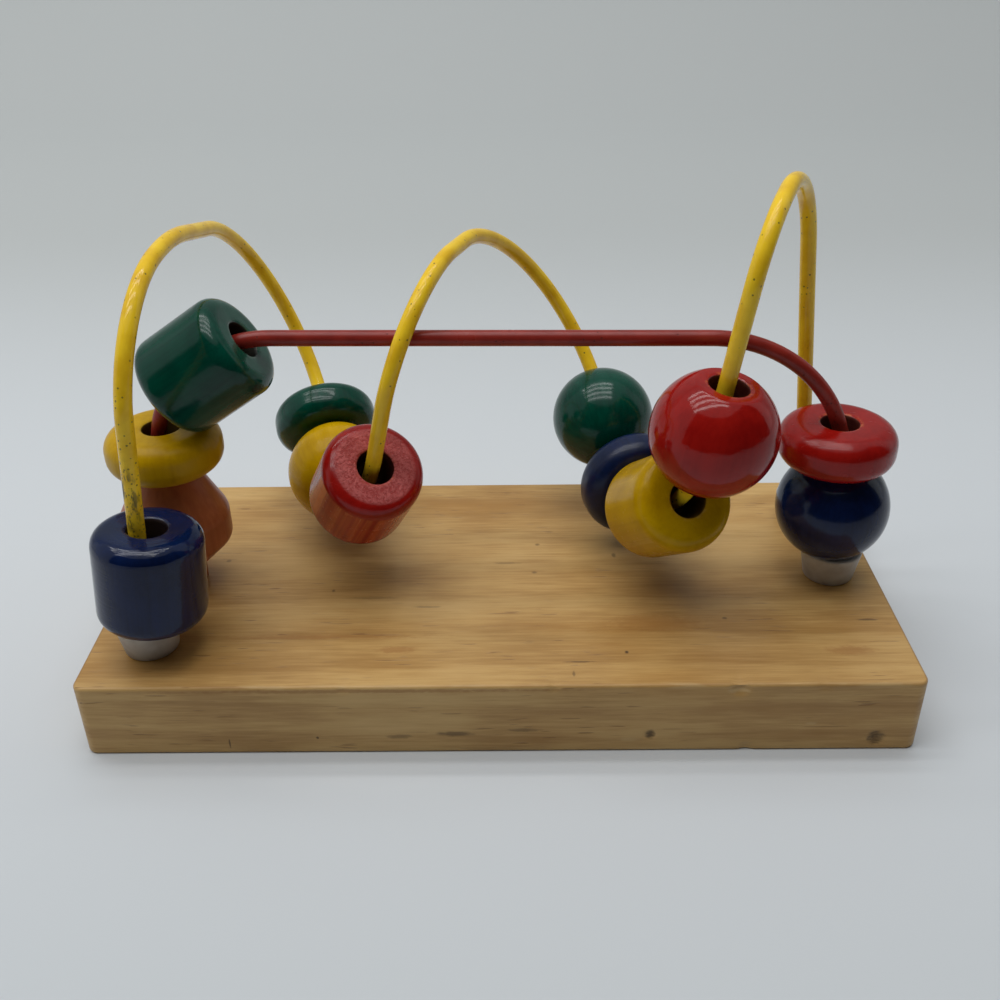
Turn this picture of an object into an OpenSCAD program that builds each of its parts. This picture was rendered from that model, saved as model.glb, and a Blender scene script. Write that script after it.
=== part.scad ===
// Bead maze: a wooden board that carries two painted wires, with wooden beads threaded on them.
// The origin is the middle of the board's underside, +X runs along the board to the right,
// +Y goes to the back and +Z is up. All lengths are in millimetres.

/* [Board] */
// Length of the board, left to right
base_l = 188; // [150:1:240]
// Width of the board, front to back
base_w = 89; // [80:1:120]
// Thickness of the board
base_h = 19; // [16:0.5:30]
// Radius of the board's upright corners
base_corner_r = 4; // [2:0.5:10]
// Width of the eased edge round the top and the underside
base_ease = 1; // [0.5:0.1:2]

/* [Wires] */
// Diameter of the yellow wire
yellow_wire_d = 3.8; // [3:0.1:4.4]
// Diameter of the red wire
red_wire_d = 3.7; // [3:0.1:4.4]
// Height of the yellow wire's loops above the lowest turns
loop_h = 80; // [70:1:100]
// Bend radius that the yellow wire's turns are shares of
loop_r = 28; // [24:0.5:32]
// Distance between the middles of the two wires where the second loop turns over the red one
wire_room = 5; // [4.8:0.1:7]
// Radius of the red wire's left bend
arch_left_r = 29; // [25:0.5:36]
// Radius of the red wire's right bend
arch_right_r = 34; // [28:0.5:38]
// Radius of the slight bend just above each foot
foot_r = 20; // [15:1:30]
// Depth of the drilled hole that holds a wire's end
socket_depth = 12; // [8:0.5:14]
// Room between a wire's end and the wall of its hole, for glue
socket_clearance = 0.1; // [0.05:0.05:0.3]

/* [Foot caps] */
// Height of a plastic cap
cap_h = 8; // [5:0.2:10]
// Diameter of a cap at its top
cap_top_d = 15; // [12:0.5:18]
// Diameter of a cap at the board
cap_bottom_d = 12; // [9:0.5:15]
// Room between a wire and the hole through its cap
cap_clearance = 0.2; // [0.1:0.05:0.5]

/* [Balls] */
// Diameter of the yellow ball
yellow_ball_d = 26.2; // [22:0.2:29]
// Diameter of the green ball
green_ball_d = 26.6; // [22:0.2:29]
// Diameter of the blue ball
blue_ball_d = 26.8; // [22:0.2:30]
// Diameter of the red ball
red_ball_d = 28.2; // [24:0.2:30]

/* [Discs] */
// Diameter of the four discs
disc_d = 27.2; // [24:0.2:30]
// Thickness of the discs
disc_t = 10.6; // [9:0.2:13]
// Radius of the discs' rounded edges
disc_edge_r = 4.4; // [3:0.1:5.2]

/* [Barrels] */
// Diameter of the four barrels
barrel_d = 24.2; // [20:0.2:27]
// Length of the four barrels
barrel_l = 23; // [19:0.2:26]
// Radius of the barrels' rounded edges
barrel_edge_r = 3.6; // [2.5:0.1:6]

/* [Double cone] */
// Diameter of the orange double cone at its band
cone_d = 26.2; // [22:0.2:30]
// Length of the orange double cone
cone_l = 31.4; // [26:0.2:35]
// Height of the straight band round the double cone's middle
cone_band = 7; // [4:0.5:10]
// Diameter of the double cone's flat ends
cone_end_d = 13.6; // [12:0.2:18]

/* [Bead holes] */
// Diameter of the hole through every bead
bead_bore_d = 8.8; // [8.2:0.1:9.6]
// Width of the eased edge at both ends of a hole
bore_ease = 0.6; // [0.3:0.1:1]
// Room between two beads that rest against each other
bead_gap = 0.3; // [0.2:0.1:0.6]

/* [Hidden] */
$fn = 64;

// Sides of a wire's section, largest turn between two rings of a bend, and steps in a rounded edge
wire_sides = 10;
ring_turn = 10;
edge_steps = 5;
corner_steps = 6;
// Points round a bead's end, and halvings, when one bead is moved up against another
skin_sides = 32;
halvings = 14;
// Length by which a cutting solid runs past what it cuts
overrun = 1;
// Room left between a wire and the hole of a bead that hangs on it
wire_gap = 0.45;
// Room that a bead in the lowest turns keeps above the board
hang_room = 2;
// Room between the blue barrel and the double cone, which stand side by side
pass_room = 2.2;
// How far the beads on the wires' legs lie from the wire towards the middle of the board
stack_shift = 1.2;
blue_barrel_shift = 1.8;
// How far the blue disc is pushed to the right on its wire, and the green ball stays up the wire from it
blue_disc_shift = 1.5;
green_ball_rise = 4.5;
// How far the blue barrel leans back on its wire, in degrees
blue_barrel_lean = 4;
// Length of a ball between its two flat ends, as a share of its diameter
ball_length_share = 0.86;

half_l = base_l / 2;
half_w = base_w / 2;

// Places of the feet along the board, as shares of its half length, and of the red wire across it
yellow_left_foot_share = -0.85;
yellow_right_foot_shares = [0.863, 0.555];
red_left_foot_share = -0.854;
red_right_foot_share = 0.874;
red_line_share = -0.04;

red_y = red_line_share * half_w;
// The yellow wire's front foot stands off the red wire by the two beads that pass each other there
yellow_front_y = red_y - (barrel_d + cone_d) / 2 - pass_room;
yellow_left_foot = [yellow_left_foot_share * half_l, yellow_front_y];
yellow_right_foot = [yellow_right_foot_shares[0] * half_l, yellow_right_foot_shares[1] * half_w];
red_left_foot = [red_left_foot_share * half_l, red_y];
red_right_foot = [red_right_foot_share * half_l, red_y];

// The lowest turns hang high enough for the widest bead on them to clear the board
loop_floor = base_h + max(disc_d, barrel_d, yellow_ball_d, green_ball_d) / 2 + hang_room;

// Corners of the yellow wire, where its straight runs would meet if they were not bent: shares of the
// half length, the half width and the loops' height, with the radius of each bend as a share of loop_r
yellow_corner_shares = [
  [-0.7822, -0.6809, 0.8173],
  [-0.7584, 0.1151, 0.8705],
  [-0.693, 2.3272, 0.5876],
  [-0.385, -0.02, -0.178],
  [-0.204, -0.315, 0.795],
  [0.165, 2.3, 0.733],
  [0.403, -0.413, -0.322],
  [0.567, -0.443, 0.969],
  [0.731, 0.339, 1.074]
];
yellow_radius_shares = [0.992, 2.065, 1.141, 1, 0.97, 1.19, 1.165, 0.6, 0.76];
// Which corners the beads and the red wire are placed by: the two lowest turns and the second loop's front
low_turn_1_index = 3;
front_turn_2_index = 4;
low_turn_2_index = 6;

// The red wire's level run is a little higher at its left end: shares of the half length and of its height
red_corner_shares = [[-0.8385, 1.009], [0.853, 0.985]];

// Straight and bent pieces of a wire

function unit(v) = v / norm(v);
function degrees(length, radius) = length / radius * 180 / PI;
function arc_length(angle, radius) = angle * radius * PI / 180;
function turned(v, axis, angle) =
  v * cos(angle) + cross(axis, v) * sin(angle) + axis * (axis * v) * (1 - cos(angle));

// Directions of the straight runs between corners, and the turn at each inner corner
function run_dirs(corners) = [for (i = [0:len(corners) - 2]) unit(corners[i + 1] - corners[i])];
function corner_turns(dirs) = [0, for (i = [1:len(dirs) - 1]) acos(dirs[i - 1] * dirs[i]), 0];

// How far each bend reaches along its runs, and the share of that which its runs have room for
function reaches(radii, turns) = [for (i = [0:len(turns) - 1]) radii[i] * tan(turns[i] / 2)];
function run_room(corners, reach, i) =
  min(1, norm(corners[i + 1] - corners[i]) / (reach[i] + reach[i + 1]));
function fitted_radii(corners, radii, reach) = [
  for (i = [0:len(corners) - 1])
    i == 0 || i == len(corners) - 1
      ? 0
      : radii[i] * min(run_room(corners, reach, i - 1), run_room(corners, reach, i))
];

// A route is a list of pieces: a run is [length, start, direction], and a bend is
// [length, centre, direction from the centre to its start, axis, radius, turn]
function bend_piece(corner, d0, d1, radius, turn, reach) =
  let (axis = unit(cross(d0, d1)), out = -cross(axis, d0))
  [arc_length(turn, radius), corner - d0 * reach - out * radius, out, axis, radius, turn];
function run_piece(from, to, dir, reach0, reach1) =
  [norm(to - from) - reach0 - reach1, from + dir * reach0, dir];
function route(corners, radii) =
  let (
    dirs = run_dirs(corners),
    turns = corner_turns(dirs),
    fit = fitted_radii(corners, radii, reaches(radii, turns)),
    reach = reaches(fit, turns),
    last = len(dirs) - 1
  )
  [
    for (i = [0:last])
      for (part = [0:i < last ? 1 : 0])
        part == 0
          ? run_piece(corners[i], corners[i + 1], dirs[i], reach[i], reach[i + 1])
          : bend_piece(corners[i + 1], dirs[i], dirs[i + 1], fit[i + 1], turns[i + 1], reach[i + 1])
  ];

function is_bend(piece) = len(piece) > 3;
function piece_point(piece, s) =
  is_bend(piece)
    ? piece[1] + piece[4] * turned(piece[2], piece[3], degrees(s, piece[4]))
    : piece[1] + piece[2] * s;
function point_at(pieces, s, i = 0) =
  i == len(pieces) - 1 || s <= pieces[i][0]
    ? piece_point(pieces[i], s)
    : point_at(pieces, s - pieces[i][0], i + 1);
function start_of(pieces, i) = i == 0 ? 0 : start_of(pieces, i - 1) + pieces[i - 1][0];

// Rings along a route, each [point, tangent, side]: the side turns with each bend, so no tube twists
function bend_steps(piece) = ceil(piece[5] / ring_turn);
function side_after(pieces, i, side) =
  i < 0 ? side : let (before = side_after(pieces, i - 1, side))
    is_bend(pieces[i]) ? turned(before, pieces[i][3], pieces[i][5]) : before;
function bend_rings(piece, side) = [
  for (k = [0:bend_steps(piece)])
    let (a = piece[5] * k / bend_steps(piece))
    [piece[1] + piece[4] * turned(piece[2], piece[3], a),
     turned(cross(piece[3], piece[2]), piece[3], a), turned(side, piece[3], a)]
];
function route_rings(pieces, side) =
  let (last = len(pieces) - 1)
  [
    [pieces[0][1], pieces[0][2], side],
    for (i = [1:2:last - 1])
      each bend_rings(pieces[i], side_after(pieces, i - 1, side)),
    [piece_point(pieces[last], pieces[last][0]), pieces[last][2], side_after(pieces, last, side)]
  ];

module tube(pieces, d) {
  rings = route_rings(pieces, [1, 0, 0]);
  last = len(rings) - 1;
  points = [
    for (ring = rings)
      for (k = [0:wire_sides - 1])
        let (a = 360 * k / wire_sides)
        ring[0] + (ring[2] * cos(a) + cross(ring[1], ring[2]) * sin(a)) * d / 2
  ];
  walls = [
    for (i = [0:last - 1])
      for (k = [0:wire_sides - 1])
        let (a = i * wire_sides + k, b = i * wire_sides + (k + 1) % wire_sides)
        for (face = [[a, a + wire_sides, b], [b, a + wire_sides, b + wire_sides]])
          face
  ];
  first_end = [for (k = [0:wire_sides - 1]) k];
  last_end = [for (k = [wire_sides - 1:-1:0]) last * wire_sides + k];
  polyhedron(points = points, faces = concat(walls, [first_end, last_end]));
}

// Routes of the two wires

function foot_end(foot) = [foot.x, foot.y, base_h - socket_depth];
function foot_top(foot) = [foot.x, foot.y, base_h + cap_h];
yellow_corners = [
  foot_end(yellow_left_foot),
  foot_top(yellow_left_foot),
  for (c = yellow_corner_shares) [c[0] * half_l, c[1] * half_w, loop_floor + c[2] * loop_h],
  foot_top(yellow_right_foot),
  foot_end(yellow_right_foot)
];
yellow_radii = [0, foot_r, for (share = yellow_radius_shares) share * loop_r, foot_r, 0];
yellow_route = route(yellow_corners, yellow_radii);

// Piece of the yellow route that is the bend at one of yellow_corner_shares
function yellow_bend_index(corner) = 2 * (corner + 1) + 1;
function yellow_bend(corner) = yellow_route[yellow_bend_index(corner)];

// The red wire runs inside the second loop's front bend
loop_2 = yellow_bend(front_turn_2_index);
arch_h = loop_2[1].z - base_h
  + sqrt(max(0, (loop_2[4] - wire_room) ^ 2 - (loop_2[1].y - red_y) ^ 2));
red_corners = [
  foot_end(red_left_foot),
  foot_top(red_left_foot),
  for (c = red_corner_shares) [c[0] * half_l, red_y, base_h + c[1] * arch_h],
  foot_top(red_right_foot),
  foot_end(red_right_foot)
];
red_route = route(red_corners, [0, foot_r, arch_left_r, arch_right_r, foot_r, 0]);
red_left_bend_index = 3;
red_left_bend = red_route[red_left_bend_index];
red_right_bend = red_route[red_left_bend_index + 2];

// Forms of the beads, each [diameter, length, radius of its rounded edge, or 0 for a ball with flat ends]

function ball_form(d) = [d, d * ball_length_share, 0];
disc_form = [disc_d, disc_t, disc_edge_r];
barrel_form = [barrel_d, barrel_l, barrel_edge_r];

// Half outline of a form, from its flat end to its widest place
function rounded_edge(form) = [
  for (k = [0:edge_steps])
    let (a = 90 - 90 * k / edge_steps)
    [form[0] / 2 - form[2] + form[2] * cos(a), form[1] / 2 - form[2] + form[2] * sin(a)]
];
function ball_edge(form) =
  let (first = acos(form[1] / form[0]))
  [for (k = [0:edge_steps]) let (a = first + (90 - first) * k / edge_steps) [sin(a), cos(a)] * form[0] / 2];
function half_outline(form) = form[2] == 0 ? ball_edge(form) : rounded_edge(form);

// A pose is [middle, axis]. A bead's hole is centred on the bend of its wire, and then the bead hangs down
// until the hole is close to the wire: less far where the wire is steep. A bead that is pushed up by its
// neighbours hangs by a smaller share, and it can lie to one side
function threaded(pieces, s, form, hang_share = 1, shift = 0) =
  let (
    a = point_at(pieces, s - form[1] / 2),
    b = point_at(pieces, s + form[1] / 2),
    m = point_at(pieces, s),
    axis = unit(b - a),
    sag = norm((a + b) / 2 - m),
    slack = max(0, (bead_bore_d - max(yellow_wire_d, red_wire_d) - sag) / 2 - wire_gap)
  )
  [((a + b) / 2 + m) / 2 + hang_share * slack * (axis * axis.z - [0, 0, 1]) + [shift, 0, 0], axis];
function across(v) = unit(cross(abs(v.z) < abs(v.x) ? [0, 0, 1] : [1, 0, 0], v));

// Distance of a point outside a bead, and the points of a bead's end that faces another bead
function outside(form, pose, p) =
  let (
    v = p - pose[0],
    along = abs(v * pose[1]),
    off = norm(v - pose[1] * (v * pose[1])),
    a = along - form[1] / 2 + form[2],
    b = off - form[0] / 2 + form[2]
  )
  form[2] == 0
    ? max(norm(v) - form[0] / 2, along - form[1] / 2)
    : norm([max(a, 0), max(b, 0)]) + min(max(a, b), 0) - form[2];
function facing_skin(form, pose, other) =
  let (
    x = across(pose[1]),
    y = cross(pose[1], x),
    up = (other[0] - pose[0]) * pose[1] < 0 ? -pose[1] : pose[1]
  )
  [
    for (q = half_outline(form))
      for (k = [0:skin_sides - 1])
        let (a = 360 * k / skin_sides)
        pose[0] + up * q.y + (x * cos(a) + y * sin(a)) * q.x
  ];
function bead_room(form, pose, other_form, other) = min(
  min([for (p = facing_skin(form, pose, other)) outside(other_form, other, p)]),
  min([for (p = facing_skin(other_form, other, pose)) outside(form, pose, p)])
);

// Place along a wire where a bead comes to rest against another, found between a place that is too
// close and one that is clear
function settled(pieces, form, close, clear, other_form, other, hang_share = 1, shift = 0,
                 left = halvings) =
  let (s = (close + clear) / 2)
  left == 0
    ? clear
    : bead_room(form, threaded(pieces, s, form, hang_share, shift), other_form, other) > bead_gap
      ? settled(pieces, form, close, s, other_form, other, hang_share, shift, left - 1)
      : settled(pieces, form, s, clear, other_form, other, hang_share, shift, left - 1);
// The same for a bead on the yellow wire that comes after another at s (way 1) or before it (way -1)
function next_to(form, s, other_form, other, way, hang_share = 1, shift = 0) = settled(
  yellow_route, form, s, s + way * (form[1] + other_form[1]), other_form, other, hang_share, shift);

// Places of the beads, as lengths along their wire

// The yellow ball and the yellow barrel sit at these shares of the turns that carry them
yellow_ball_turn_share = 0.18;
yellow_barrel_turn_share = 0.58;

function place_on_turn(corner, share) =
  start_of(yellow_route, yellow_bend_index(corner)) + share * yellow_bend(corner)[0];
yellow_ball_s = place_on_turn(low_turn_1_index, yellow_ball_turn_share);
yellow_ball_form = ball_form(yellow_ball_d);
yellow_ball_pose = threaded(yellow_route, yellow_ball_s, yellow_ball_form);
green_disc_s = next_to(disc_form, yellow_ball_s, yellow_ball_form, yellow_ball_pose, -1);
red_barrel_s = next_to(barrel_form, yellow_ball_s, yellow_ball_form, yellow_ball_pose, 1);
yellow_barrel_s = place_on_turn(low_turn_2_index, yellow_barrel_turn_share);
yellow_barrel_pose = threaded(yellow_route, yellow_barrel_s, barrel_form);
red_ball_form = ball_form(red_ball_d);
red_ball_s = next_to(red_ball_form, yellow_barrel_s, barrel_form, yellow_barrel_pose, 1);

// The blue disc is held up between its neighbours, to the right of its wire
blue_disc_hang_share = 0;
blue_disc_s = next_to(
  disc_form, yellow_barrel_s, barrel_form, yellow_barrel_pose, -1, blue_disc_hang_share, blue_disc_shift);
blue_disc_pose = threaded(yellow_route, blue_disc_s, disc_form, blue_disc_hang_share, blue_disc_shift);
green_ball_form = ball_form(green_ball_d);
green_ball_s = next_to(green_ball_form, blue_disc_s, disc_form, blue_disc_pose, -1) - green_ball_rise;

// The blue barrel leans back on its cap, off the wire's middle
blue_barrel_lift = (cap_top_d / 2 + barrel_l / 2 * sin(blue_barrel_lean)) * sin(blue_barrel_lean);
blue_barrel_s = socket_depth + cap_h + bead_gap + blue_barrel_lift + barrel_l / 2;
blue_barrel_thread = threaded(yellow_route, blue_barrel_s, barrel_form);
blue_barrel_pose = [
  blue_barrel_thread[0] + [blue_barrel_shift, 0, 0],
  turned(blue_barrel_thread[1], [-1, 0, 0], blue_barrel_lean)
];

// The stacks on the red wire's legs stand level, on the board at the left and on a cap at the right
orange_cone_z = base_h + bead_gap + cone_l / 2;
yellow_disc_z = orange_cone_z + cone_l / 2 + bead_gap + disc_t / 2;
blue_ball_z = base_h + cap_h + bead_gap + ball_form(blue_ball_d)[1] / 2;
red_disc_z = blue_ball_z + ball_form(blue_ball_d)[1] / 2 + bead_gap + disc_t / 2;

// Place of the red wire at a height on its left leg or bend (side -1) or on its right one (side 1)
function leg_x(foot_point, corner_dir, bend, side, z) =
  z < bend[1].z
    ? foot_point.x + max(0, z - foot_point.z) * corner_dir.x / corner_dir.z
    : bend[1].x + side * sqrt(max(0, bend[4] ^ 2 - (z - bend[1].z) ^ 2));
function stack_pose(side, z) =
  let (
    foot_point = foot_top(side < 0 ? red_left_foot : red_right_foot),
    corner = side < 0 ? red_corners[2] : red_corners[3],
    bend = side < 0 ? red_left_bend : red_right_bend
  )
  [
    [leg_x(foot_point, unit(corner - foot_point), bend, side, z) - side * stack_shift, red_y, z],
    [0, 0, 1]
  ];
yellow_disc_pose = stack_pose(-1, yellow_disc_z);

// The green barrel lies on the left bend with its lower end on the yellow disc
red_left_bend_s = start_of(red_route, red_left_bend_index);
green_barrel_s = settled(
  red_route, barrel_form, red_left_bend_s, red_left_bend_s + red_left_bend[0] + barrel_l,
  disc_form, yellow_disc_pose);

module posed(pose) {
  x = across(pose[1]);
  y = cross(pose[1], x);
  z = pose[1];
  multmatrix([[x.x, y.x, z.x, pose[0].x], [x.y, y.y, z.y, pose[0].y], [x.z, y.z, z.z, pose[0].z],
              [0, 0, 0, 1]])
    children();
}

// Shapes of the beads, each about its own hole

// Solid turned from the half outline of a bead, mirrored about its middle
module turned_bead(outline) {
  hole_r = bead_bore_d / 2;
  upper = concat(
    [[hole_r, outline[0].y - bore_ease], [hole_r + bore_ease, outline[0].y]], outline);
  lower = [for (i = [len(upper) - 1:-1:0]) [upper[i].x, -upper[i].y]];
  rotate_extrude()
    polygon(concat(upper, lower));
}

module barrel_bead() {
  turned_bead(half_outline(barrel_form));
}

module disc_bead() {
  turned_bead(half_outline(disc_form));
}

module cone_bead() {
  turned_bead([[cone_end_d / 2, cone_l / 2], [cone_d / 2, cone_band / 2]]);
}

module ball_bead(d) {
  length = ball_form(d)[1];
  difference() {
    intersection() {
      sphere(d = d);
      cylinder(d = d + overrun, h = length, center = true);
    }
    cylinder(d = bead_bore_d, h = length + overrun, center = true);
    for (end = [0, 180])
      rotate([end, 0, 0])
        translate([0, 0, length / 2 - bore_ease])
          cylinder(d1 = bead_bore_d, d2 = bead_bore_d + 4 * bore_ease, h = 2 * bore_ease);
  }
}

// The board

function rounded_outline(l, w, r) = [
  for (corner = [[1, 1, 0], [-1, 1, 90], [-1, -1, 180], [1, -1, 270]])
    for (k = [0:corner_steps])
      let (a = corner[2] + 90 * k / corner_steps)
      [corner[0] * (l / 2 - r) + r * cos(a), corner[1] * (w / 2 - r) + r * sin(a)]
];

module board_layer(inset, z, h) {
  translate([0, 0, z])
    linear_extrude(height = h)
      polygon(rounded_outline(base_l - 2 * inset, base_w - 2 * inset, base_corner_r - inset));
}

module socket(foot, wire_d) {
  translate(foot_end(foot))
    cylinder(d = wire_d + 2 * socket_clearance, h = socket_depth + overrun);
}

module base() {
  color("burlywood")
    difference() {
      hull() {
        board_layer(base_ease, 0, base_h);
        board_layer(0, base_ease, base_h - 2 * base_ease);
      }
      socket(yellow_left_foot, yellow_wire_d);
      socket(yellow_right_foot, yellow_wire_d);
      socket(red_left_foot, red_wire_d);
      socket(red_right_foot, red_wire_d);
    }
}

// The wires

module yellow_wire() {
  color("gold")
    tube(yellow_route, yellow_wire_d);
}

module red_wire() {
  color("firebrick")
    tube(red_route, red_wire_d);
}

// The foot caps

module cap(foot, wire_d) {
  color("whitesmoke", 0.7)
    translate([foot.x, foot.y, base_h])
      difference() {
        cylinder(d1 = cap_bottom_d, d2 = cap_top_d, h = cap_h);
        translate([0, 0, -overrun])
          cylinder(d = wire_d + 2 * cap_clearance, h = cap_h + 2 * overrun);
      }
}

module yellow_left_cap() {
  cap(yellow_left_foot, yellow_wire_d);
}

module yellow_right_cap() {
  cap(yellow_right_foot, yellow_wire_d);
}

module red_right_cap() {
  cap(red_right_foot, red_wire_d);
}

// The beads on the yellow wire

module blue_barrel() {
  color("midnightblue")
    posed(blue_barrel_pose)
      barrel_bead();
}

module green_disc() {
  color("darkgreen")
    posed(threaded(yellow_route, green_disc_s, disc_form))
      disc_bead();
}

module yellow_ball() {
  color("gold")
    posed(yellow_ball_pose)
      ball_bead(yellow_ball_d);
}

module red_barrel() {
  color("firebrick")
    posed(threaded(yellow_route, red_barrel_s, barrel_form))
      barrel_bead();
}

module green_ball() {
  color("darkgreen")
    posed(threaded(yellow_route, green_ball_s, green_ball_form))
      ball_bead(green_ball_d);
}

module blue_disc() {
  color("midnightblue")
    posed(blue_disc_pose)
      disc_bead();
}

module yellow_barrel() {
  color("gold")
    posed(yellow_barrel_pose)
      barrel_bead();
}

module red_ball() {
  color("firebrick")
    posed(threaded(yellow_route, red_ball_s, red_ball_form))
      ball_bead(red_ball_d);
}

// The beads on the red wire

module orange_cone() {
  color("chocolate")
    posed(stack_pose(-1, orange_cone_z))
      cone_bead();
}

module yellow_disc() {
  color("gold")
    posed(yellow_disc_pose)
      disc_bead();
}

module green_barrel() {
  color("darkgreen")
    posed(threaded(red_route, green_barrel_s, barrel_form))
      barrel_bead();
}

module red_disc() {
  color("firebrick")
    posed(stack_pose(1, red_disc_z))
      disc_bead();
}

module blue_ball() {
  color("midnightblue")
    posed(stack_pose(1, blue_ball_z))
      ball_bead(blue_ball_d);
}

base();
yellow_wire();
red_wire();
yellow_left_cap();
yellow_right_cap();
red_right_cap();
blue_barrel();
orange_cone();
yellow_disc();
green_barrel();
green_disc();
yellow_ball();
red_barrel();
green_ball();
blue_disc();
yellow_barrel();
red_ball();
red_disc();
blue_ball();
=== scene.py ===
"""Looks of a bead maze: a varnished pine board, two painted wires and thirteen lacquered wooden beads.

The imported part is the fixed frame. Each piece stands for the solid of the same name and rides on that
solid's body, and each bead takes its place and the way of its hole from its solid. Sizes are written in
millimetres, as in the part's source, and meshes are in metres.
"""

import logging
import math
from dataclasses import dataclass, field, replace
from enum import Enum
from typing import Sequence

import bmesh
import bpy
from mathutils import Matrix, Vector, noise


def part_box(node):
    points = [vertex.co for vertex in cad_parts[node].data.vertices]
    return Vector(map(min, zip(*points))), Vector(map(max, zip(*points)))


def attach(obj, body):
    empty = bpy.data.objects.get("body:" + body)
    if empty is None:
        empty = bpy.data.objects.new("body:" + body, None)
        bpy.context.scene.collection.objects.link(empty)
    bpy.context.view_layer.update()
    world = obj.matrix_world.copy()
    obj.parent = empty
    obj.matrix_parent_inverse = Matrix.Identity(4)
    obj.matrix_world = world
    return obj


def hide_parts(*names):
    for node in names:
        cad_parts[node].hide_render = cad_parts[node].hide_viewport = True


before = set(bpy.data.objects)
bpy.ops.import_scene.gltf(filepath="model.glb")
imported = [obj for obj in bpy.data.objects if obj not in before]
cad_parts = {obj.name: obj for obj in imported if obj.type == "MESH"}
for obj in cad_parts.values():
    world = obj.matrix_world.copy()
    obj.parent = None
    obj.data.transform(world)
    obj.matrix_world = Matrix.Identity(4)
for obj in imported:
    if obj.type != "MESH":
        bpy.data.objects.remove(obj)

MM = 0.001
BOARD_BODY = "board"
MERGE_GAP = 1e-7
FACE_WEIGHT = 80
HALF_LENGTH = 94.0
HALF_WIDTH = 44.5
BOARD_TOP = 19.0
SOCKET_DEPTH = 12.0
CAP_HEIGHT = 8.0

Colour = tuple[float, float, float]
Point = tuple[float, float, float]
Pair = tuple[float, float]
Shape = bmesh.types.BMesh
Edge = bmesh.types.BMEdge
Socket = bpy.types.NodeSocket
Feed = Socket | float | tuple

log = logging.getLogger("bead_maze")


def linear(colour: Colour) -> tuple[float, float, float, float]:
    """Turns a display colour into the values that a shader takes.

    Args:
        colour: red, green and blue from 0 to 255.

    Returns:
        The same colour as linear values from 0 to 1, with full alpha.
    """
    shares = [value / 255 for value in colour]
    light = [s / 12.92 if s <= 0.04045 else ((s + 0.055) / 1.055) ** 2.4 for s in shares]
    return (*light, 1.0)


def metres(point: Sequence[float]) -> Vector:
    """Turns a point in millimetres into a vector in metres."""
    return Vector(point) * MM


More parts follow.
